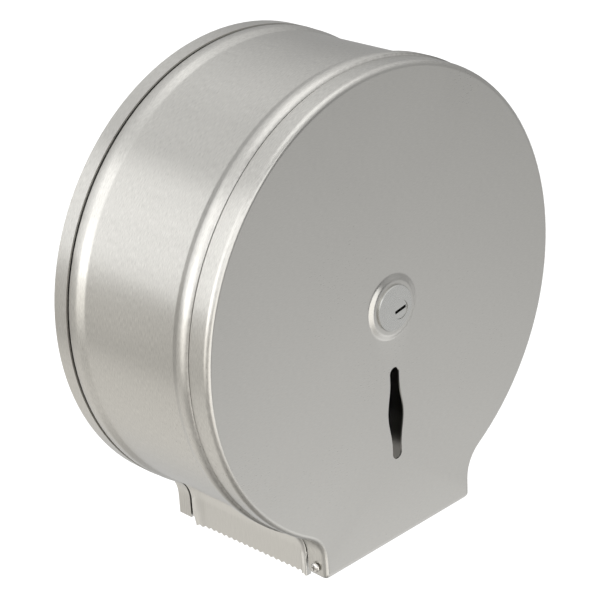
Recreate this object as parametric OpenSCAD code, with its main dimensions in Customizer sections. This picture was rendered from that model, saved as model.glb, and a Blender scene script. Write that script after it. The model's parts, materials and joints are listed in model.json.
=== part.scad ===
/* [Drum] */
// Outside radius of the door's skirt
drum_r = 135; // [120:1:160]
// Distance from the wall to the door's flat face
body_depth = 120; // [112:1:140]
// Sheet thickness of the drum shell and the two mouth cheeks
shell_t = 0.8; // [0.6:0.1:1.2]
// Height of the rolled beads above the drum's flat band
bead_h = 2; // [0.8:0.1:2.4]
// How far the beads stand outside the door's skirt
bead_over = 1.2; // [0.4:0.1:1.5]
// Width of the rear bead, crest and fall
rear_bead_w = 14; // [10:0.5:18]
// Width of the front bead, rise and crest
front_bead_w = 12.5; // [11:0.5:17]

/* [Back pan] */
// Sheet thickness of the back pan
pan_t = 1; // [0.8:0.1:1.5]
// How far the pan's rim stands outside the door's skirt
rim_over = 1.5; // [1.5:0.1:3]
// Depth of the pan's rim
rim_depth = 10; // [8:0.5:12]
// Height of the pressed boss that carries the spindle
pan_boss_h = 3; // [2:0.25:4]
// Distance between the wall fixing holes, across
fix_x = 130; // [120:1:150]
// Distance between the wall fixing holes, up
fix_z = 110; // [100:1:130]
// Radius of the wall fixing holes
fix_hole_r = 3.25; // [2:0.25:4]

/* [Mouth] */
// Outside width of the mouth
mouth_w = 122; // [104:1:130]
// Radius of the hollow fillet between the drum and the mouth's sides
mouth_fillet = 21; // [10:1:24]
// Straight length of the mouth's side below the fillet
mouth_side = 12.6; // [11:0.1:20]
// Width of the raised strip in front of the cheek's toothed panel
cheek_strip_w = 5; // [3:0.5:8]
// Width of the sloping band behind the cheek's toothed panel
cheek_slope_w = 11; // [6:0.5:14]

/* [Teeth] */
// Distance from tooth to tooth
tooth_pitch = 4.3; // [3:0.1:6]
// Depth of a tooth
tooth_h = 1.3; // [0.8:0.1:1.5]
// How far the rear tooth reaches below the mouth
tooth_drop_rear = 4.6; // [4:0.1:8]
// How far the front tooth reaches below the mouth
tooth_drop_front = 1.7; // [1.6:0.1:4]

/* [Door] */
// Sheet thickness of the door
door_t = 0.9; // [0.7:0.1:1.2]
// Outside radius of the door's rounded lip
lip_r = 3.25; // [2:0.25:4]
// Depth of the door's skirt, from its face to its free edge
skirt_depth = 13.5; // [12:0.5:16]
// Depth of the flange folded back along the door's bottom edge
sill = 5; // [4:0.5:6]

/* [View slot] */
// Length of the view slot
slot_len = 57; // [40:1:70]
// Width of the view slot at its middle
slot_mid_w = 12.4; // [9:0.2:16]
// Width of the view slot at its ends
slot_end_w = 7.3; // [6:0.1:8.5]
// Distance from the drum's axis down to the slot's middle
slot_drop = 65; // [58:1:75]

/* [Pivots] */
// Distance from the door's face back to the pivot axis
pivot_back = 7; // [6.6:0.1:7.5]
// Height of the pivot axis above the door's bottom edge
pivot_up = 7.1; // [6.6:0.1:8]
// Radius of the pivot screw
pivot_r = 1.5; // [1.25:0.25:1.75]
// Radius of the pivot screw's head
pivot_head_r = 3; // [2.5:0.1:3.3]
// Height of the pivot screw's head
pivot_head_h = 2.2; // [1.6:0.1:2.6]

/* [Lock] */
// Radius of the pressed boss round the lock, at its foot
boss_foot_r = 19.5; // [18:0.5:24]
// Radius of the boss at its top
boss_top_r = 15.2; // [14.8:0.1:16.5]
// Height of the boss above the door's face
boss_h = 1.6; // [1:0.1:2.5]
// Radius of the lock's round head
head_r = 13.3; // [12.5:0.1:14]
// Thickness of the lock's head
head_t = 1.2; // [1:0.1:2]
// Radius of the lock's barrel
barrel_r = 10.5; // [10.3:0.1:11]
// Length of the barrel behind the head
barrel_len = 18; // [16:0.5:19]
// Radius of the turning plug
plug_r = 5; // [4.6:0.1:5.2]
// Distance from the barrel's axis to the plug's axis
plug_off = 4.7; // [4.2:0.1:4.8]
// Direction of the plug from the barrel's axis, below the horizontal
plug_dir = 28; // [0:1:40]
// Tilt of the key slot in the open position
key_tilt = 10; // [0:1:20]
// Length of the key slot
key_l = 8.6; // [6:0.1:8.8]
// Width of the key slot
key_w = 1.8; // [1.2:0.1:2.2]
// Reach of the cam from the plug's axis
cam_len = 17; // [16.5:0.1:17.5]
// Width of the cam
cam_w = 8; // [6:0.5:9]
// Thickness of the cam
cam_t = 2; // [1.5:0.1:2.5]

/* [Spindle] */
// Outside radius of the roll hub, which the roll's core slides over
hub_r = 22; // [21:0.5:26]
// Wall thickness of the hub's outer and inner sleeves
hub_wall = 2; // [1.5:0.1:2.4]
// Radius of the hub's rear flange
hub_flange_r = 30; // [27:1:34]
// Number of ribs inside the hub
hub_ribs = 8; // [4:1:12]
// Outside radius of the spindle tube
tube_r = 15; // [14.5:0.1:15.5]
// Wall thickness of the spindle tube
tube_t = 1.5; // [1:0.1:2]
// Distance from the spindle's front end to the door's face
spindle_back = 28; // [27:0.5:30]
// Radius of the flange that holds the tube on the back pan
flange_r = 39; // [36:1:42]
// Sheet thickness of that flange
flange_t = 1.5; // [1:0.1:2]

/* [Hidden] */

// Finishes
satin = [0.72, 0.72, 0.70];
bright = [0.86, 0.86, 0.85];
zinc = [0.62, 0.63, 0.64];
nylon = [0.90, 0.90, 0.86];
steel = [0.50, 0.51, 0.52];

// Clearances
run = 0.08;        // radial clearance of a turning fit
loose = 0.1;       // radial clearance of a screw in its hole
side_play = 0.15;  // gap on each side of a turning piece
edge_gap = 1.3;    // gap between the skirt's free edge and the front bead
swing_room = 0.35; // least gap between the shell and the door while it swings
eps = 0.01;        // overshoot where two bodies of one piece meet

// The outline, seen from the front with x across and y up: a circle that runs
// through two hollow fillets into the mouth's straight sides
half_w = mouth_w / 2;
fil_x = half_w + mouth_fillet;
fil_y = sqrt(pow(drum_r + mouth_fillet, 2) - pow(fil_x, 2));
fil_a = asin(fil_x / (drum_r + mouth_fillet));
tangent = drum_r / (drum_r + mouth_fillet);
bottom = fil_y + mouth_side;
corner_r = lip_r + 0.25;
arc_steps = 100;
fil_steps = 6;
corner_steps = 4;

// Pivot axis: its depth from the wall and its height
pivot_d = body_depth - pivot_back;
pivot_y = pivot_up - bottom;

// Depths, measured from the wall towards the front
skirt_d = body_depth - skirt_depth;
crest_d = min(skirt_d - edge_gap, pivot_d - pivot_up - 2 * swing_room);
shell_front_d = body_depth - door_t - 1.6;
boss_d = body_depth + boss_h;
pan_seat_d = pan_boss_h + pan_t;

// How far the skirt's free edge lifts, towards the end of the drum's circle, while
// the door swings, and the step of the shell that leaves room for it
reach = skirt_depth - pivot_back;
above = -pivot_y - fil_y * tangent;
lift = (sqrt(reach * reach + above * above) - above) * cos(fil_a);
band_drop = door_t + lift + swing_room;
rear_drop = 0.5;
band = bead_over - bead_h;
weld_flange = 8;

// Pivot ears and teeth. An ear clears the rounded corner of the door's bottom flange.
corner_rise = corner_r - sqrt(pow(corner_r - door_t, 2) - pow(max(corner_r - band_drop, 0), 2));
ear_r = min(pivot_back - door_t, pivot_up - corner_rise) - 0.4;
foot_y = pan_t + 0.3 - bottom;
tooth_d0 = rim_depth + 3.5;
tooth_d1 = pivot_d - pivot_up - 0.5;
ear_in = half_w - band_drop - shell_t;
pivot_washer_r = 3.5;
pivot_washer_t = 0.5;
pivot_nut_r = 3.1;
pivot_nut_t = 2.4;

// Lock
plug_x = plug_off * cos(plug_dir);
plug_y = -plug_off * sin(plug_dir);
barrel_d = boss_d - barrel_len;
barrel_flat = barrel_r - 1;
plug_sink = 0.4;
collar_t = 0.6;
collar_over = 0.3;
plug_front_d = boss_d + head_t - plug_sink;
key_deep = 12;
cam_d = barrel_d - 0.2;
cam_hub_r = 6;
cam_back_d = cam_d - cam_t;
stub_r = 3.5;
stub_flat = 2.5;
cam_screw_r = 1.5;
cam_screw_l = 8;
cam_washer_r = 4.4;
washer_t = 0.7;
washer_r = barrel_r + 2.6;
nut_r = barrel_r + 4.5;
nut_t = 3;

// Spindle
spindle_d = body_depth - spindle_back;
spindle_d0 = pan_seat_d + flange_t;
pan_boss_r = flange_r + 5;
thrust_t = 1;
hub_in = tube_r + run;
hub_d0 = spindle_d0 + thrust_t + side_play;
hub_d1 = spindle_d - thrust_t - side_play;
hub_flange_t = 2;
rib_t = 1.6;
rivet_circle = flange_r - 4.6;
rivet_r = 2;
rivet_head_r = 3.5;
rivet_head_h = 1.2;
plug_len = 6;

// Lock keeper, a plate on the spindle's end with a hooked tab for the cam
keeper_t = 1.6;
keeper_r = tube_r + 4.5;
keeper_bend = 2.4;
tab_w = 14;
tab_x = plug_x - 1.6;
tab_top = 18.5;
lip_low = barrel_r + 0.8;
lip_d = cam_d + 0.4 + keeper_t;
keeper_screw_r = 2;
keeper_screw_x = 9;
keeper_screw_y = -4;

// Turns a piece drawn face up, with depth along z, so that it faces forward
module upright() rotate([90, 0, 0]) children();

// A smooth half wave from one level to another, n steps long
function wave(o0, d0, o1, d1, n) =
  [for (i = [0:n]) [o0 + (o1 - o0) * (1 - cos(180 * i / n)) / 2, d0 + (d1 - d0) * i / n]];

// Points on a circular arc about (x, y)
function arc(x, y, r, a0, a1, n) =
  [for (i = [0:n]) let (a = a0 + (a1 - a0) * i / n) [x + r * cos(a), y + r * sin(a)]];

// One half of the outline moved outward by o, from the bottom corner to the top
function half_outline(o) = concat(
  arc(half_w - corner_r, -bottom + corner_r, corner_r + o, -90, 0, corner_steps),
  arc(fil_x, -fil_y, mouth_fillet - o, 180, 90 + fil_a, fil_steps),
  [for (i = [1:arc_steps / 2])
    let (a = fil_a - 90 + (180 - fil_a) * i / (arc_steps / 2))
      [(drum_r + o) * cos(a), (drum_r + o) * sin(a)]]);

// The whole outline moved outward by o, as points
function outline_points(o) =
  let (h = half_outline(o), n = len(h))
    concat(h, [for (i = [n - 2:-1:0]) [-h[i][0], h[i][1]]]);

// The outline moved outward by o, as true arcs. The pan's lower edge, which it
// draws, stays level with the door's.
module outline(o) {
  low = -bottom + rim_over - o;
  circle(r = drum_r + o, $fn = 120);
  difference() {
    polygon([[-fil_x * tangent, -fil_y * tangent], [-half_w - o, -fil_y],
      [-half_w - o, low], [half_w + o, low],
      [half_w + o, -fil_y], [fil_x * tangent, -fil_y * tangent]]);
    for (s = [-1, 1])
      translate([s * fil_x, -fil_y])
        circle(r = mouth_fillet - o, $fn = 48);
  }
}

// A block on the outline from depth d0 to d1, its front edge rounded with radius r.
// Each flat end is closed by a ring that runs in to a round core.
module rounded_block(o, d0, d1, r) {
  steps = 5;
  rim = concat([[o, d0]],
    [for (i = [0:steps]) [o - r * (1 - cos(90 * i / steps)), d1 - r * (1 - sin(90 * i / steps))]]);
  core = [for (p = outline_points(0)) p * drum_r * 0.7 / norm(p)];
  loops = concat([[for (p = core) [p[0], p[1], d0]]],
    [for (l = rim) [for (p = outline_points(l[0])) [p[0], p[1], l[1]]]],
    [[for (p = core) [p[0], p[1], d1]]]);
  n = len(core);
  top = len(loops) - 1;
  points = [for (l = loops) for (p = l) p];
  faces = concat(
    [[for (i = [0:n - 1]) i]],
    [for (j = [0:top - 1]) for (i = [0:n - 1])
      let (k = (i + 1) % n) [j * n + i, (j + 1) * n + i, (j + 1) * n + k, j * n + k]],
    [[for (i = [n - 1:-1:0]) top * n + i]]);
  polyhedron(points, faces, convexity = 6);
}

// A bent sheet whose outside follows the given points, with its rear weld flange.
// Its steep step, next to the last point, is set back to keep the sheet's thickness.
module sheet(outer) {
  n = len(outer);
  inner = [for (i = [n - 1:-1:0])
    [outer[i][0] - shell_t, outer[i][1] - (i == n - 2 || i == n - 3 ? shell_t * 0.7 : 0)]];
  polygon(concat(outer, inner));
  translate([-rear_drop - weld_flange, pan_t]) square([weld_flange - shell_t / 2, shell_t]);
}

// The shell's front end, stepped in so that the door's skirt fits over it
function front_end() =
  [[bead_over, crest_d], [-band_drop, crest_d + edge_gap / 2], [-band_drop, shell_front_d]];

// Section of the drum's wall, as offset from the outline against depth
module drum_section()
  sheet(concat(
    [[-rear_drop, pan_t]],
    wave(-rear_drop, rim_depth + 0.1, bead_over, rim_depth + 2.2, 3),
    wave(bead_over, rim_depth + rear_bead_w - 7, band, rim_depth + rear_bead_w, 4),
    wave(band, crest_d - front_bead_w, bead_over, crest_d - front_bead_w + 6, 4),
    front_end()));

// Section of a mouth cheek, with its panel pressed in between two strips
module cheek_section()
  sheet(concat(
    [[-rear_drop, pan_t]],
    wave(-rear_drop, rim_depth + 0.1, bead_over, rim_depth + 1.3, 2),
    wave(bead_over, rim_depth + 1.5, band, rim_depth + 1.5 + cheek_slope_w, 4),
    wave(band, crest_d - cheek_strip_w, bead_over, crest_d - cheek_strip_w + 2, 3),
    front_end()));

// Height of the tooth tips at depth d: the row rises towards the front
function tip_y(d) =
  -bottom - tooth_drop_rear + (tooth_drop_rear - tooth_drop_front) * (d - tooth_d0) / (tooth_d1 - tooth_d0);

// Side view of a cheek below its fillet, as depth against height
module cheek_side() {
  n = floor((tooth_d1 - tooth_d0) / tooth_pitch);
  p = (tooth_d1 - tooth_d0) / n;
  teeth = [for (i = [0:n - 1]) for (k = [0, 1])
    let (d = tooth_d0 + (i + k / 2) * p) [d, tip_y(d) + k * tooth_h]];
  polygon(concat([[0, -fil_y + 1], [0, foot_y], [tooth_d0 - 1.3, foot_y]],
    teeth, [[tooth_d1, tip_y(tooth_d1)], [tooth_d1, pivot_y], [body_depth, pivot_y],
      [body_depth, -fil_y + 1]]));
  translate([pivot_d, pivot_y]) circle(r = ear_r, $fn = 60);
}

// One mouth cheek: hollow fillet, pressed side with its teeth, and pivot ear
module cheek() {
  translate([fil_x, -fil_y, 0])
    mirror([1, 0, 0])
      rotate_extrude(angle = 90 - fil_a, $fn = 48)
        translate([mouth_fillet, 0]) mirror([1, 0, 0]) cheek_section();
  difference() {
    intersection() {
      translate([half_w, -fil_y, 0])
        rotate([90, 0, 0])
          linear_extrude(mouth_side + tooth_drop_rear + 1) cheek_section();
      translate([half_w + 5, 0, 0])
        rotate([0, -90, 0])
          linear_extrude(20) cheek_side();
    }
    translate([half_w - 15, pivot_y, pivot_d])
      rotate([0, 90, 0]) cylinder(r = pivot_r + loose, h = 20, $fn = 32);
  }
}

// Ring lying flat from depth 0 to h
module ring(r1, r0, h)
  difference() {
    cylinder(r = r1, h = h, $fn = 64);
    translate([0, 0, -1]) cylinder(r = r0, h = h + 2, $fn = 64);
  }

// Pan-head screw with a cross recess, its head up and its seat at z = 0
module pan_screw(r, l, head_r, head_h) {
  round_r = head_h * 0.62;
  difference() {
    rotate_extrude($fn = 36)
      polygon(concat([[0, -l], [r - 0.3, -l], [r, -l + 0.3], [r, 0]],
        arc(head_r - round_r, head_h - round_r, round_r, 0, 90, 4), [[0, head_h]]));
    for (a = [0, 90])
      rotate([0, 0, a])
        translate([-head_r * 0.55, -head_r * 0.13, head_h * 0.45])
          cube([head_r * 1.1, head_r * 0.26, head_h]);
  }
}

// Puts a piece drawn along z, outward, on the left and right pivots
module on_pivots()
  for (s = [0, 1])
    mirror([s, 0, 0])
      translate([0, pivot_y, pivot_d])
        rotate([0, 90, 0]) children();

// Puts a piece on the four rivet positions
module on_rivets()
  for (a = [45:90:315])
    rotate([0, 0, a]) translate([rivet_circle, 0, 0]) children();

// Pan on the wall: plate, rim, pressed boss under the spindle, four fixing holes
module back_pan() color(satin) upright() {
  difference() {
    union() {
      linear_extrude(pan_t) outline(rim_over);
      difference() {
        linear_extrude(rim_depth) outline(rim_over);
        translate([0, 0, -1]) linear_extrude(rim_depth + 2) outline(rim_over - pan_t);
      }
      rotate_extrude($fn = 96)
        polygon([[0, pan_t / 2], [pan_boss_r + pan_boss_h + 0.5, pan_t / 2],
          [pan_boss_r + pan_boss_h + 0.5, pan_t], [pan_boss_r, pan_seat_d], [0, pan_seat_d]]);
    }
    rotate_extrude($fn = 96)
      polygon([[0, -1], [pan_boss_r + pan_boss_h + 1, -1], [pan_boss_r + pan_boss_h, 0],
        [pan_boss_r - 0.5, pan_boss_h], [0, pan_boss_h]]);
    for (x = [-1, 1]) for (y = [-1, 1])
      translate([x * fix_x / 2, y * fix_z / 2, -1]) cylinder(r = fix_hole_r, h = 5, $fn = 48);
    on_rivets() translate([0, 0, -1]) cylinder(r = rivet_r + loose, h = 10, $fn = 32);
  }
}

// The drum's round wall, which ends where the fillets begin
module drum_shell() color(satin) upright()
  rotate([0, 0, fil_a - 90])
    rotate_extrude(angle = 360 - 2 * fil_a, $fn = 120)
      translate([drum_r, 0]) drum_section();

module left_cheek() color(satin) upright() mirror([1, 0, 0]) cheek();

module right_cheek() color(satin) upright() cheek();

// Round plate that carries the spindle tube on the pan's boss
module spindle_flange() color(zinc) upright()
  difference() {
    translate([0, 0, pan_seat_d]) cylinder(r = flange_r, h = flange_t, $fn = 96);
    on_rivets() cylinder(r = rivet_r + loose, h = 20, $fn = 32);
  }

module spindle_rivets() color(zinc) upright()
  on_rivets() rotate_extrude($fn = 36)
    polygon([[0, pan_boss_h - rivet_head_h], [rivet_head_r - 0.8, pan_boss_h - rivet_head_h],
      [rivet_head_r, pan_boss_h - 0.4], [rivet_head_r, pan_boss_h], [rivet_r, pan_boss_h],
      [rivet_r, spindle_d0], [rivet_head_r, spindle_d0], [rivet_head_r, spindle_d0 + 0.4],
      [rivet_head_r - 0.8, spindle_d0 + rivet_head_h], [0, spindle_d0 + rivet_head_h]]);

module spindle_tube() color(satin) upright()
  translate([0, 0, spindle_d0]) ring(tube_r, tube_r - tube_t, spindle_d - spindle_d0);

// Plug in the tube's front end, which takes the keeper's screws
module spindle_plug() color(zinc) upright()
  difference() {
    translate([0, 0, spindle_d - plug_len])
      cylinder(r = tube_r - tube_t - loose / 2, h = plug_len, $fn = 64);
    for (s = [-1, 1])
      translate([s * keeper_screw_x, keeper_screw_y, spindle_d - plug_len - 1])
        cylinder(r = keeper_screw_r + loose / 2, h = plug_len + 2, $fn = 32);
  }

module rear_washer() color(nylon) upright()
  translate([0, 0, spindle_d0]) ring(tube_r + 5, tube_r + run, thrust_t);

module front_washer() color(nylon) upright()
  translate([0, 0, spindle_d - thrust_t]) ring(keeper_r, tube_r + run, thrust_t);

// Plate on the spindle's end, bent forward and down behind the lock's cam
module lock_keeper() color(zinc) upright() {
  rb = keeper_bend;
  ri = keeper_bend - keeper_t;
  difference() {
    union() {
      translate([0, 0, spindle_d]) cylinder(r = keeper_r, h = keeper_t, $fn = 96);
      translate([tab_x + tab_w / 2, 0, 0])
        rotate([0, -90, 0])
          linear_extrude(tab_w)
            polygon(concat([[spindle_d, 0]],
              arc(spindle_d + rb, tab_top - rb, rb, 180, 90, 4),
              arc(lip_d - rb, tab_top - rb, rb, 90, 0, 4),
              [[lip_d, lip_low], [lip_d - keeper_t, lip_low]],
              arc(lip_d - rb, tab_top - rb, ri, 0, 90, 4),
              arc(spindle_d + rb, tab_top - rb, ri, 90, 180, 4),
              [[spindle_d + keeper_t, 0]]));
    }
    for (s = [-1, 1])
      translate([s * keeper_screw_x, keeper_screw_y, spindle_d - 1])
        cylinder(r = keeper_screw_r + loose, h = keeper_t + 2, $fn = 32);
  }
}

module keeper_screws() color(steel) upright()
  for (s = [-1, 1])
    translate([s * keeper_screw_x, keeper_screw_y, spindle_d + keeper_t])
      pan_screw(keeper_screw_r, keeper_t + plug_len - 1, 3.5, 2.4);

module pivot_screws() color(bright) upright()
  on_pivots() translate([0, 0, half_w + side_play])
    pan_screw(pivot_r, half_w + side_play - ear_in + pivot_washer_t + pivot_nut_t + 1,
      pivot_head_r, pivot_head_h);

module pivot_spacers() color(nylon) upright()
  on_pivots() translate([0, 0, half_w - band_drop])
    ring(pivot_washer_r, pivot_r + loose / 2, band_drop - door_t - side_play);

module pivot_washers() color(zinc) upright()
  on_pivots() translate([0, 0, ear_in - pivot_washer_t])
    ring(pivot_washer_r, pivot_r + loose, pivot_washer_t);

module pivot_nuts() color(zinc) upright()
  on_pivots() translate([0, 0, ear_in - pivot_washer_t - pivot_nut_t])
    difference() {
      cylinder(r = pivot_nut_r, h = pivot_nut_t, $fn = 6);
      translate([0, 0, -1]) cylinder(r = pivot_r + loose / 2, h = pivot_nut_t + 2, $fn = 32);
    }

// Hub that turns on the spindle tube: two sleeves joined by ribs, with a rear flange
module roll_hub() color(nylon) upright() {
  fd = hub_d0 + 1;
  fe = fd + hub_flange_t;
  ro = hub_in + hub_wall;
  rotate_extrude($fn = 96)
    polygon([[hub_in, hub_d0], [ro, hub_d0], [ro, fd], [hub_flange_r - 0.5, fd],
      [hub_flange_r, fd + 0.5], [hub_flange_r, fe - 0.5], [hub_flange_r - 0.5, fe],
      [hub_r, fe], [hub_r, hub_d1 - 1.5], [hub_r - 1, hub_d1], [hub_r - hub_wall, hub_d1],
      [hub_r - hub_wall, fe], [ro, fe], [ro, hub_d1], [hub_in, hub_d1]]);
  for (i = [0:hub_ribs - 1])
    rotate([0, 0, (i + 0.5) * 360 / hub_ribs])
      translate([ro - 0.6, -rib_t / 2, fd + 0.5])
        cube([hub_r - hub_wall - ro + 1.2, rib_t, hub_d1 - 1.5 - fd]);
}

// Long window with rounded tips and a smooth bulge at its middle
module slot_shape() {
  l = slot_len / 2 - slot_end_w / 2;
  bulge = slot_len / 2 - 8;
  w = wave(slot_mid_w / 2, 0, slot_end_w / 2, bulge, 10);
  side = concat([[slot_end_w / 2, -l]], [for (i = [10:-1:1]) [w[i][0], -w[i][1]]], w,
    [[slot_end_w / 2, l]]);
  polygon(concat(side, [for (i = [len(side) - 1:-1:0]) [-side[i][0], side[i][1]]]));
  for (s = [-1, 1]) translate([0, s * l]) circle(r = slot_end_w / 2, $fn = 32);
}

// The boss round the lock, o inside its outer skin
module boss_shape(o) {
  top = boss_top_r - o * 0.8;
  foot = boss_foot_r - o * 0.8;
  side = [for (i = [0:6])
    [foot + (top - foot) * i / 6, body_depth - o + boss_h * (1 - cos(180 * i / 6)) / 2]];
  rotate_extrude($fn = 96)
    polygon(concat([[0, body_depth - o - 0.3], [foot, body_depth - o - 0.3]], side,
      [[0, boss_d - o]]));
}

// Opening for the lock's barrel, flat on two sides
module barrel_shape(o)
  intersection() {
    circle(r = barrel_r + o, $fn = 96);
    square([2 * barrel_r + 2, 2 * barrel_flat + 2 * o], center = true);
  }

// Pressed door: face, rounded lip, skirt, side tabs with pivot holes, bottom flange
module front_door() color(satin) upright()
  difference() {
    union() {
      rounded_block(0, skirt_d, body_depth, lip_r);
      boss_shape(0);
    }
    rounded_block(-door_t, skirt_d - 1, body_depth - door_t, lip_r - door_t);
    boss_shape(door_t);
    translate([0, 0, boss_d - 3]) linear_extrude(5) barrel_shape(loose);
    translate([0, -slot_drop, body_depth - 3]) linear_extrude(5) slot_shape();
    // Between the tabs only a narrow flange is left behind the bottom edge
    translate([door_t - half_w, -bottom - 1, skirt_d - 1])
      cube([mouth_w - 2 * door_t, corner_r + 1, skirt_depth + 1 - sill]);
    // The tabs' lower rear corners are rounded about the pivot axis
    translate([-half_w - 1, pivot_y, pivot_d])
      rotate([0, 90, 0])
        difference() {
          translate([0, -pivot_up - 5, 0]) cube([reach + 5, pivot_up + 5, mouth_w + 2]);
          translate([0, 0, -1]) cylinder(r = pivot_up, h = mouth_w + 4, $fn = 96);
        }
    translate([-half_w - 1, pivot_y, pivot_d])
      rotate([0, 90, 0]) cylinder(r = pivot_r + loose, h = mouth_w + 2, $fn = 32);
  }

// Lock housing: round head on the boss, flatted barrel, bore for the plug
module lock_body() color(bright) upright()
  difference() {
    union() {
      rotate_extrude($fn = 96)
        polygon([[0, boss_d], [head_r, boss_d], [head_r, boss_d + head_t - 0.4],
          [head_r - 0.4, boss_d + head_t], [0, boss_d + head_t]]);
      translate([0, 0, barrel_d]) linear_extrude(barrel_len + 0.5) barrel_shape(0);
    }
    translate([plug_x, plug_y, barrel_d - 1]) cylinder(r = plug_r + run, h = 40, $fn = 64);
    translate([plug_x, plug_y, plug_front_d - collar_t - side_play])
      cylinder(r = plug_r + collar_over + run, h = 5, $fn = 64);
  }

module lock_washer() color(zinc) upright()
  difference() {
    translate([0, 0, boss_d - door_t - washer_t]) ring(washer_r, barrel_r + loose, washer_t);
    for (i = [0:11])
      rotate([0, 0, i * 30])
        translate([washer_r - 1, -0.6, boss_d - door_t - 2]) cube([3, 1.2, 3]);
  }

module lock_nut() color(bright) upright()
  translate([0, 0, boss_d - door_t - washer_t - nut_t])
    difference() {
      cylinder(r = nut_r, h = nut_t, $fn = 6);
      translate([0, 0, -1]) cylinder(r = barrel_r + loose / 2, h = nut_t + 2, $fn = 64);
    }

// Turning plug: collar and key slot in front, flatted stub for the cam behind
module lock_plug() color(bright) upright()
  translate([plug_x, plug_y, 0])
    difference() {
      union() {
        translate([0, 0, cam_d]) cylinder(r = plug_r, h = plug_front_d - cam_d, $fn = 64);
        translate([0, 0, plug_front_d - collar_t])
          cylinder(r = plug_r + collar_over, h = collar_t, $fn = 64);
        translate([0, 0, cam_back_d + 0.3])
          intersection() {
            cylinder(r = stub_r, h = cam_t + 1, $fn = 48);
            translate([-stub_r, -stub_flat, 0]) cube([2 * stub_r, 2 * stub_flat, cam_t + 1]);
          }
      }
      rotate([0, 0, key_tilt])
        translate([-key_l / 2, -key_w / 2, plug_front_d - key_deep])
          cube([key_l, key_w, key_deep + 1]);
      translate([0, 0, cam_back_d - 1])
        cylinder(r = cam_screw_r + loose / 2, h = cam_screw_l + 1.5, $fn = 32);
    }

// Cam on the plug's stub, pointing sideways while the lock is open
module lock_cam() color(zinc) upright()
  translate([plug_x, plug_y, cam_back_d])
    linear_extrude(cam_t)
      difference() {
        union() {
          circle(r = cam_hub_r, $fn = 64);
          rotate([0, 0, 180 + key_tilt]) {
            translate([0, -cam_w / 2]) square([cam_len - cam_w / 2, cam_w]);
            translate([cam_len - cam_w / 2, 0]) circle(r = cam_w / 2, $fn = 48);
          }
        }
        intersection() {
          circle(r = stub_r + loose / 2, $fn = 48);
          square([2 * stub_r + 1, 2 * stub_flat + loose], center = true);
        }
      }

module cam_washer() color(zinc) upright()
  translate([plug_x, plug_y, cam_back_d - washer_t])
    ring(cam_washer_r, cam_screw_r + loose, washer_t);

module cam_screw() color(steel) upright()
  translate([plug_x, plug_y, cam_back_d - washer_t])
    rotate([180, 0, 0]) pan_screw(cam_screw_r, cam_screw_l - 1, 2.8, 2);

back_pan();
drum_shell();
left_cheek();
right_cheek();
spindle_flange();
spindle_rivets();
spindle_tube();
spindle_plug();
rear_washer();
front_washer();
lock_keeper();
keeper_screws();
pivot_screws();
pivot_spacers();
pivot_washers();
pivot_nuts();
roll_hub();
front_door();
lock_body();
lock_washer();
lock_nut();
lock_plug();
lock_cam();
cam_washer();
cam_screw();
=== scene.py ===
import json
import math

import bpy
import numpy as np
from mathutils import Matrix, Vector

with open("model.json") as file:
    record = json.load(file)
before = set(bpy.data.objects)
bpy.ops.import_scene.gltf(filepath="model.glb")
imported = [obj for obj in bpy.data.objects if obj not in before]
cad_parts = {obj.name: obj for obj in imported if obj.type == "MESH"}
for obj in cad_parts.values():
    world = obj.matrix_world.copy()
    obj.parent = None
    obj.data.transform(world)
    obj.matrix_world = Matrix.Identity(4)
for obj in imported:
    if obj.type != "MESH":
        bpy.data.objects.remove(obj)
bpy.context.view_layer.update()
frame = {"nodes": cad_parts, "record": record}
nodes = frame["nodes"]
record = frame["record"]
scene = bpy.context.scene

# ---------------------------------------------------------------- sizes, in metres and degrees
DRUM_R = 0.135           # the drum's wall, which the brush strokes run round
CREST_DEPTH = 0.1052     # from the wall to the front bead's edge
CREST_TILT = 34.8        # how far the shading of that edge leans forward
CREST_NEAR = 5e-5        # a point this close to CREST_DEPTH lies on the edge
SMOOTH_ANGLE = 32.0      # edges below it are shaded smooth
WELD = 2e-6              # points closer than this are one point
STROKE_LONG, STROKE_WIDE = 0.0032, 0.00042
FACE_SLICE = 7.0         # keeps the strokes on flat faces apart from those on the wall
STROKE_MEAN = 0.52       # the stroke noise's mean, at which the colour stays as it is written
FACE_SHARE = 0.3         # how much of the strokes' depth flat faces show
INSIDE_SHADE_LEVEL, DULL_ROUGH = 0.32, 0.5   # painted shade: the inner sides' share of the colour; and their dull roughness
RING_WIDE = 0.00012      # turning marks on the lock

CAMERA_PLACE = (-0.68806, -0.77474, 0.43408)
CAMERA_AZIMUTH = -43.435
CAMERA_ELEVATION = 24.219
CAMERA_ROLL = -3.415
CAMERA_LENS = 115.528

FLOOR_Z = -0.62
FLOOR_HALF = 6.0
FLOOR_GLOW = 0.35        # seen by the camera only, it makes the pale floor white

LAMP_PLACE, LAMP_AIM = (0.2, -0.3, 2.2), (0.0, -0.05, 0.0)
LAMP_SIZE, LAMP_POWER = 1.8, 6.0


# ---------------------------------------------------------------- camera
def make_camera():
    """The photograph's viewpoint: in front, to the left and above, looking down at the drum."""
    data = bpy.data.cameras.new("camera")
    data.sensor_width = 36.0
    data.lens = CAMERA_LENS
    data.clip_start, data.clip_end = 0.05, 50.0
    camera = bpy.data.objects.new("camera", data)
    scene.collection.objects.link(camera)
    turn = Matrix.Rotation(math.radians(CAMERA_AZIMUTH), 4, "Z")
    tilt = Matrix.Rotation(math.radians(90.0 - CAMERA_ELEVATION), 4, "X")
    roll = Matrix.Rotation(math.radians(CAMERA_ROLL), 4, "Z")
    camera.matrix_world = Matrix.Translation(CAMERA_PLACE) @ turn @ tilt @ roll
    scene.camera = camera


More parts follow.
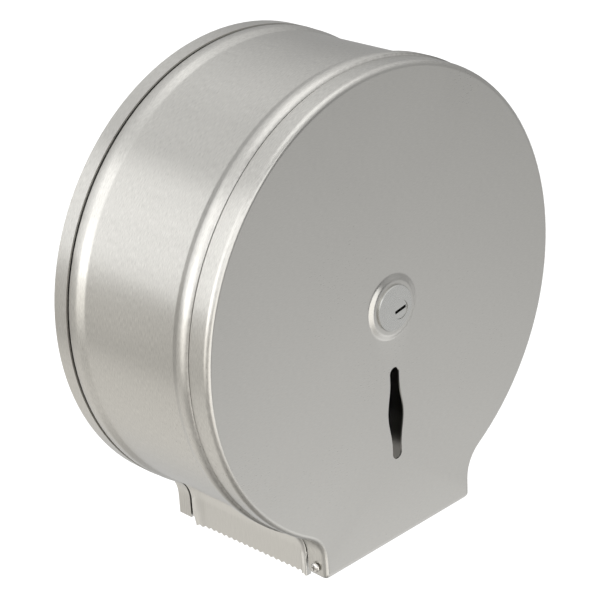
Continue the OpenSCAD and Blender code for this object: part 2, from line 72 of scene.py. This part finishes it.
# ---------------------------------------------------------------- shader helpers
class Nodes:
    """Short calls for building a node tree, where a value is a constant or another node's output."""

    def __init__(self, tree):
        self.tree = tree
        tree.nodes.clear()

    def add(self, kind, **settings):
        node = self.tree.nodes.new(kind)
        for name, setting in settings.items():
            setattr(node, name, setting)
        return node

    def put(self, socket, value):
        if isinstance(value, bpy.types.NodeSocket):
            self.tree.links.new(value, socket)
        else:
            socket.default_value = value

    def fill(self, node, values):
        """Sets several inputs, by their names or numbers."""
        for key, value in values.items():
            self.put(node.inputs[key], value)
        return node

    def math(self, operation, *values):
        node = self.add("ShaderNodeMath", operation=operation)
        return self.fill(node, dict(enumerate(values))).outputs[0]

    def product(self, first, *others):
        for value in others:
            first = self.math("MULTIPLY", first, value)
        return first

    def total(self, first, *others):
        for value in others:
            first = self.math("ADD", first, value)
        return first

    def length(self, a, b):
        return self.math("SQRT", self.total(self.product(a, a), self.product(b, b)))

    def ramp(self, value, lo, hi, out_lo=0.0, out_hi=1.0, kind="SMOOTHSTEP"):
        """Goes from out_lo at lo to out_hi at hi, and stays level outside."""
        node = self.add("ShaderNodeMapRange", interpolation_type=kind)
        ends = {"From Min": lo, "From Max": hi, "To Min": out_lo, "To Max": out_hi}
        return self.fill(node, {"Value": value, **ends}).outputs["Result"]

    def noise(self, vector, scale, detail=2.0, rough=0.5):
        node = self.add("ShaderNodeTexNoise")
        values = {"Vector": vector, "Scale": scale, "Detail": detail, "Roughness": rough}
        return self.fill(node, values).outputs["Fac"]

    def place(self):
        """The object's own coordinates, in metres."""
        return self.add("ShaderNodeTexCoord").outputs["Object"]

    def split(self, vector):
        return self.fill(self.add("ShaderNodeSeparateXYZ"), {0: vector}).outputs

    def join(self, x, y, z):
        return self.fill(self.add("ShaderNodeCombineXYZ"), {0: x, 1: y, 2: z}).outputs[0]

    def mix(self, factor, a, b):
        """Blends two colours or vectors."""
        node = self.add("ShaderNodeMix", data_type="RGBA")
        return self.fill(node, {"Factor": factor, 6: a, 7: b}).outputs[2]

    def mix_value(self, factor, a, b):
        """Blends two numbers."""
        node = self.add("ShaderNodeMix", data_type="FLOAT")
        return self.fill(node, {"Factor": factor, 2: a, 3: b}).outputs[0]

    def scaled(self, colour, factor):
        node = self.add("ShaderNodeVectorMath", operation="SCALE")
        return self.fill(node, {0: colour, "Scale": factor}).outputs[0]

    def bump(self, height, strength, distance=0.0002):
        node = self.add("ShaderNodeBump")
        return self.fill(node, {"Height": height, "Strength": strength, "Distance": distance}).outputs[0]


def new_material(name):
    material = bpy.data.materials.new(name)
    material.use_nodes = True
    t = Nodes(material.node_tree)
    out = t.add("ShaderNodeOutputMaterial")
    shader = t.add("ShaderNodeBsdfPrincipled")
    t.put(out.inputs["Surface"], shader.outputs[0])
    return material, t, shader


# ---------------------------------------------------------------- materials
def grain(t, dull_shaded_sides):
    """Brush strokes: round the drum's axis on its wall, and straight along X on flat faces.

    Returns the strokes, how far the sheet faces forward or back, and how far it shows a dull side that
    carries painted shade.
    """
    coord = t.add("ShaderNodeTexCoord")
    x, y, z = t.split(coord.outputs["Object"])
    nx, ny, nz = t.split(coord.outputs["Normal"])
    arc = t.product(t.math("ARCTAN2", x, z), DRUM_R)
    on_wall = t.join(t.product(arc, 1.0 / STROKE_LONG), t.product(y, 1.0 / STROKE_WIDE), 0.0)
    on_face = t.join(t.product(x, 1.0 / STROKE_LONG), t.product(z, 1.0 / STROKE_WIDE), FACE_SLICE)
    facing = t.ramp(t.math("ABSOLUTE", ny), 0.75, 0.95)
    strokes = t.mix_value(facing, t.noise(on_wall, 1.0, 3.0, 0.6), t.noise(on_face, 1.0, 3.0, 0.6))
    outward = t.math("DIVIDE", t.total(t.product(x, nx), t.product(z, nz)), t.length(x, z))
    # the inner wall and back: a duller finish, and painted shade that darkens their colour
    dull_and_shaded = 0.0
    if "back" in dull_shaded_sides:
        dull_and_shaded = t.ramp(ny, 0.5, 0.8)
    if "wall" in dull_shaded_sides:
        dull_and_shaded = t.math("MAXIMUM", dull_and_shaded, t.ramp(outward, -0.1, -0.25))
    return strokes, facing, dull_and_shaded


def satin(name, colour, rough, streak=0.75, dull_shaded_sides=("wall", "back")):
    """Brushed stainless sheet: short fine strokes, faint clouding, roughness that follows both.

    Its inner wall and its back, where the sides argument names them, are duller and darkened with painted
    shade.
    """
    material, t, shader = new_material(name)
    strokes, facing, dull_and_shaded = grain(t, dull_shaded_sides)
    cloud = t.noise(t.place(), 14.0, 3.0, 0.55)
    depth = t.mix_value(facing, streak, streak * FACE_SHARE)
    fine = t.total(1.0, t.product(t.math("SUBTRACT", strokes, STROKE_MEAN), depth))
    # painted shade: the inner wall and back keep only part of the colour
    level = t.product(fine, t.ramp(cloud, 0.3, 0.7, 0.985, 1.012), t.mix_value(dull_and_shaded, 1.0, INSIDE_SHADE_LEVEL))
    roughness = t.total(t.ramp(strokes, 0.2, 0.8, rough - 0.025, rough + 0.03, "LINEAR"),
                        t.ramp(cloud, 0.3, 0.7, -0.015, 0.015))
    around = t.add("ShaderNodeTangent", direction_type="RADIAL", axis="Y").outputs[0]
    relief = t.product(strokes, t.mix_value(facing, 1.0, 0.1))
    t.fill(shader, {
        "Base Color": t.scaled(colour, level),
        "Metallic": 1.0,
        "Roughness": t.mix_value(dull_and_shaded, roughness, DULL_ROUGH),
        # the strokes blur reflections across themselves: along the drum's axis on its wall
        "Anisotropic": 0.75,
        "Anisotropic Rotation": 0.25,
        "Tangent": t.mix(facing, around, (1.0, 0.0, 0.0, 1.0)),
        "Normal": t.bump(relief, 0.02, 0.0004),
    })
    return material


def turned(name, colour, rough, centre):
    """Turned or polished metal with faint rings about an axis along Y through centre (x, z)."""
    material, t, shader = new_material(name)
    x, y, z = t.split(t.place())
    radius = t.length(t.math("SUBTRACT", x, centre[0]), t.math("SUBTRACT", z, centre[1]))
    rings = t.noise(t.join(t.product(radius, 1.0 / RING_WIDE), t.product(y, 1.0 / RING_WIDE), 0.0), 1.0)
    spots = t.noise(t.place(), 260.0)
    level = t.product(t.ramp(rings, 0.3, 0.7, 0.97, 1.02), t.ramp(spots, 0.3, 0.7, 0.985, 1.01))
    t.fill(shader, {
        "Base Color": t.scaled(colour, level),
        "Metallic": 1.0,
        "Roughness": t.ramp(rings, 0.3, 0.7, rough * 0.85, rough * 1.2),
        "Normal": t.bump(rings, 0.03),
    })
    return material


def plated(name, colour, rough):
    """Plated steel: faint crystal mottling and small colour drift."""
    material, t, shader = new_material(name)
    spots = t.noise(t.place(), 420.0, 3.0)
    cloud = t.noise(t.place(), 40.0)
    warm = tuple(c * k for c, k in zip(colour, (1.03, 1.0, 0.95)))
    t.fill(shader, {
        "Base Color": t.mix(t.ramp(cloud, 0.35, 0.65), (*colour, 1.0), (*warm, 1.0)),
        "Metallic": 1.0,
        "Roughness": t.ramp(spots, 0.3, 0.7, rough - 0.06, rough + 0.08),
        "Normal": t.bump(spots, 0.04),
    })
    return material


def moulded(name, colour, rough):
    """Moulded nylon: soft sheen, faint flow marks and a fine orange-peel surface."""
    material, t, shader = new_material(name)
    flow = t.noise(t.place(), 30.0, 3.0)
    peel = t.noise(t.place(), 900.0)
    darker = tuple(c * 0.95 for c in colour)
    t.fill(shader, {
        "Base Color": t.mix(t.ramp(flow, 0.3, 0.7), (*darker, 1.0), (*colour, 1.0)),
        "Roughness": t.ramp(peel, 0.3, 0.7, rough - 0.04, rough + 0.05),
        "Normal": t.bump(peel, 0.05),
    })
    return material


# ---------------------------------------------------------------- smooth shading
def read(items, field, width=1, kind=np.float32):
    """One field of a mesh's points, faces or corners, as an array."""
    values = np.zeros(len(items) * width, kind)
    items.foreach_get(field, values)
    return values.reshape(-1, width) if width > 1 else values


def smooth_normals(obj, has_crest):
    """Shades a CAD node smoothly across its shallow edges, without touching its points."""
    mesh = obj.data
    points = read(mesh.vertices, "co", 3)
    face_normals = read(mesh.polygons, "normal", 3)
    areas = read(mesh.polygons, "area")
    corner_points = read(mesh.loops, "vertex_index", kind=np.int32)
    corner_counts = read(mesh.polygons, "loop_total", kind=np.int32)
    corner_faces = np.repeat(np.arange(len(mesh.polygons)), corner_counts)

    # corners that share a place form a group
    cells = np.round(points / WELD).astype(np.int64)
    _, cell = np.unique(cells, axis=0, return_inverse=True)
    cell = cell.reshape(-1)[corner_points]
    order = np.argsort(cell, kind="stable")
    groups = np.split(order, np.flatnonzero(np.diff(cell[order])) + 1)

    limit = math.cos(math.radians(SMOOTH_ANGLE))
    shading = face_normals[corner_faces].astype(float)
    for group in groups:
        faces = corner_faces[group]
        n = face_normals[faces].astype(float)
        weights = (n @ n.T > limit) * np.sqrt(areas[faces])[None, :]
        blend = weights @ n
        shading[group] = blend / np.maximum(np.linalg.norm(blend, axis=1, keepdims=True), 1e-12)
    if has_crest:
        round_crest(points[corner_points], face_normals[corner_faces], groups, shading)
    mesh.polygons.foreach_set("use_smooth", [True] * len(mesh.polygons))
    mesh.normals_split_custom_set(shading.tolist())


def round_crest(places, face_normals, groups, shading):
    """Shades the front bead's edge, which the sheet rolls over, as the rounded fold that it is."""
    flat = np.array((1.0, 0.0, 1.0))
    forward = np.array((0.0, -1.0, 0.0))
    tilt = math.radians(CREST_TILT)
    for group in groups:
        place = places[group[0]]
        if abs(place[1] + CREST_DEPTH) > CREST_NEAR:
            continue
        n = face_normals[group]
        side = group[(np.abs(n[:, 1]) < 0.3) & (n @ (place * flat) > 0)]
        step = group[n[:, 1] < -0.8]
        if len(side) and len(step):
            outward = shading[side].mean(0) * flat
            outward /= np.linalg.norm(outward)
            shading[np.concatenate((side, step))] = outward * math.cos(tilt) + forward * math.sin(tilt)


# ---------------------------------------------------------------- finishes
def finish_pieces():
    """Gives each node its material and its smooth shading."""
    steel = (0.61, 0.60, 0.57)
    chrome = (0.60, 0.60, 0.58)
    joints = {joint["name"]: joint["pos_m"] for joint in record["behaviour"]["joints"]}
    plug_x, _, plug_z = joints["lock_turn"]
    # the cheeks: the steel's colour lifted as painted light, with the fainter strokes of their pressed
    # finish
    pressed_and_lit = satin("pressed_satin_painted_light", (0.69, 0.68, 0.65), 0.33, streak=0.3)
    by_slot = {
        "satin_sheet": satin("satin_stainless", steel, 0.30),
        "lock_chrome": turned("lock_satin_chrome", chrome, 0.27, (0.0, 0.0)),
        "zinc_plate": plated("zinc_plated", (0.60, 0.61, 0.62), 0.34),
        "screw_steel": plated("screw_bright", (0.68, 0.67, 0.65), 0.2),
        "nylon": moulded("moulded_nylon", (0.80, 0.79, 0.75), 0.42),
    }
    by_name = {
        "front_door": satin("door_satin", steel, 0.30, dull_shaded_sides=("back",)),
        "back_pan": satin("pan_satin", steel, 0.30, dull_shaded_sides=()),
        "left_cheek": pressed_and_lit,
        "right_cheek": pressed_and_lit,
        "lock_plug": turned("plug_polished_chrome", chrome, 0.24, (plug_x, plug_z)),
    }
    slots = {part["node"]: part["material_slot"] for part in record["subparts"]}
    for name, obj in nodes.items():
        obj.data.materials.clear()
        obj.data.materials.append(by_name.get(name, by_slot[slots[name]]))
        smooth_normals(obj, name in ("drum_shell", "left_cheek", "right_cheek"))


# ---------------------------------------------------------------- stage
# Soft patches of light that the metal sees: a direction, the angles from it where the patch
# starts and ends to fade, and how much it adds.
SOFT_PATCHES = (
    ((-0.90, 0.10, 0.43), 10, 35, 0.42),   # left and above
    ((-0.98, 0.05, 0.03), 8, 30, 1.10),    # left, level
    ((0.85, 0.20, -0.45), 8, 25, 0.90),    # right and below
    ((0.55, -0.55, -0.63), 6, 28, 0.34),   # in front, right and below: the door's face
    ((0.42, -0.36, -0.83), 6, 27, 0.42),   # the same, steeper: the face's foot
    ((-0.22, 0.72, 0.66), 2, 12, 0.12),    # behind and above: the drum's shoulder
    ((0.42, 0.67, -0.61), 10, 34, 0.25),   # behind, right and below: the drum's underside
    ((0.00, -1.00, 0.00), 10, 45, -0.30),  # a shade straight in front
)


def backdrop_level(t, direction):
    """How bright the metal sees the backdrop in each direction."""
    x, y, z = t.split(direction)

    def patch(centre, inner, outer):
        """1 inside the inner angle about a direction, fading to 0 at the outer angle."""
        dot = t.add("ShaderNodeVectorMath", operation="DOT_PRODUCT")
        t.fill(dot, {0: direction, 1: Vector(centre).normalized()})
        fade_ends = [math.cos(math.radians(angle)) for angle in (outer, inner)]
        return t.ramp(dot.outputs["Value"], *fade_ends)

    def band(value, a, b, c, d):
        """0 below a, 1 from b to c, 0 above d."""
        return t.product(t.ramp(value, a, b), t.ramp(value, d, c))

    sky = t.ramp(z, 0.1, 0.9, 0.41, 0.91)
    ground = t.ramp(z, -0.1, -0.9, 0.0, 0.16)
    left = t.ramp(x, -0.35, -0.40)
    left_box = t.product(left, band(z, -0.03, 0.05, 0.68, 0.80), t.ramp(z, 0.0, 0.6, 0.77, 0.70))
    low_left_box = t.product(left, band(z, -0.52, -0.42, -0.06, 0.0), 0.20)
    front_box = t.product(band(x, -0.50, -0.38, 0.14, 0.26), band(z, -0.66, -0.54, 0.40, 0.52),
                          t.ramp(y, -0.5, -0.7), 1.45)
    rear_left = t.product(patch((-0.45, 0.62, -0.64), 8, 42), t.ramp(z, -0.40, -0.52), 0.38)
    level = t.total(sky, ground, left_box, low_left_box, front_box, rear_left)
    for centre, inner, outer, strength in SOFT_PATCHES:
        level = t.total(level, t.product(patch(centre, inner, outer), strength))
    dimmed_below = t.ramp(z, -0.97, -0.75, 0.65, 1.0)
    return t.product(level, dimmed_below)


def make_world():
    """A backdrop that is white to the camera and plain to matt surfaces.

    Metal and glass see it graded by direction, and a little warm low on the left.
    """
    world = bpy.data.worlds.new("studio")
    scene.world = world
    world.use_nodes = True
    t = Nodes(world.node_tree)
    out = t.add("ShaderNodeOutputWorld")
    backdrop = t.add("ShaderNodeBackground")
    path = t.add("ShaderNodeLightPath").outputs
    direction = t.add("ShaderNodeTexCoord").outputs["Generated"]
    x, _, z = t.split(direction)
    mirrored = t.math("MAXIMUM", path["Is Glossy Ray"], path["Is Transmission Ray"])
    lit = t.mix_value(mirrored, 1.0, backdrop_level(t, direction))
    low_left = t.product(t.ramp(z, 0.12, -0.12), t.ramp(x, 0.35, -0.15))
    white, warm = (1.0, 1.0, 1.0, 1.0), (1.0, 0.975, 0.93, 1.0)
    t.fill(backdrop, {
        "Strength": t.mix_value(path["Is Camera Ray"], lit, 1.0),
        "Color": t.mix(t.product(low_left, mirrored), white, warm),
    })
    t.put(out.inputs["Surface"], backdrop.outputs[0])


def make_floor():
    """Plain pale floor, far enough below that the wall-hung part throws only a faint shadow."""
    half, z = FLOOR_HALF, FLOOR_Z
    mesh = bpy.data.meshes.new("floor")
    corners = [(-half, -half, z), (half, -half, z), (half, half, z), (-half, half, z)]
    mesh.from_pydata(corners, [], [(0, 1, 2, 3)])
    floor = bpy.data.objects.new("floor", mesh)
    scene.collection.objects.link(floor)
    material = bpy.data.materials.new("floor")
    material.use_nodes = True
    t = Nodes(material.node_tree)
    out = t.add("ShaderNodeOutputMaterial")
    path = t.add("ShaderNodeLightPath").outputs
    matt = t.fill(t.add("ShaderNodeBsdfDiffuse"), {"Color": (0.80, 0.80, 0.80, 1.0)})
    glow = t.fill(t.add("ShaderNodeEmission"), {"Strength": t.product(path["Is Camera Ray"], FLOOR_GLOW)})
    both = t.fill(t.add("ShaderNodeAddShader"), {0: matt.outputs[0], 1: glow.outputs[0]})
    t.put(out.inputs["Surface"], both.outputs[0])
    mesh.materials.append(material)
    floor.visible_glossy = False


def make_lamp():
    """One weak and wide lamp overhead."""
    data = bpy.data.lights.new("top_soft", "AREA")
    data.shape = "SQUARE"
    data.size = LAMP_SIZE
    data.energy = LAMP_POWER
    lamp = bpy.data.objects.new("top_soft", data)
    lamp.location = LAMP_PLACE
    lamp.rotation_euler = (Vector(LAMP_AIM) - Vector(LAMP_PLACE)).to_track_quat("-Z", "Y").to_euler()
    scene.collection.objects.link(lamp)


finish_pieces()
make_camera()
make_floor()
make_world()
make_lamp()
scene.view_settings.view_transform = "Standard"
